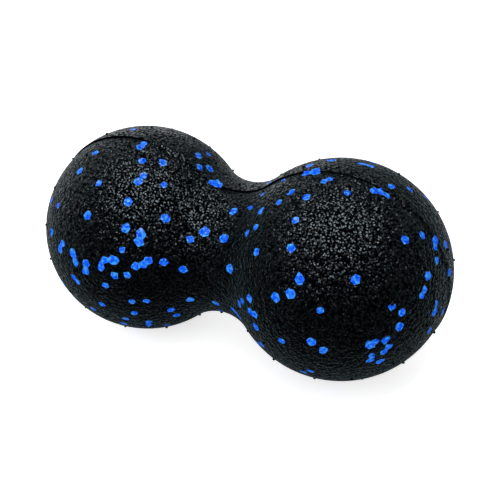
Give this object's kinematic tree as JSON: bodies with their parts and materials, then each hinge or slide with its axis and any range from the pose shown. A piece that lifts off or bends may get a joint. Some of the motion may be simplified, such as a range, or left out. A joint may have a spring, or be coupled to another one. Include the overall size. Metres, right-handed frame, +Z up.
{
  "type": "peanut massage ball",
  "caption": "Peanut-shaped massage roller of moulded bead foam: two round ends joined by a smooth waist that leaves room for the spine, with a fine pebbled skin.",
  "frame": {"origin": "on the surface that the ball lies on, under the middle of the waist", "axes": "+X along the ball through both ends, +Y to its back, +Z up"},
  "size_m": [0.16, 0.0798, 0.0798],
  "materials": {
    "black_foam": "fine pebbled moulded bead foam, slightly glossy"
  },
  "bodies": {
    "root": {"peanut_ball": "black_foam"}
  },
  "joints": []
}
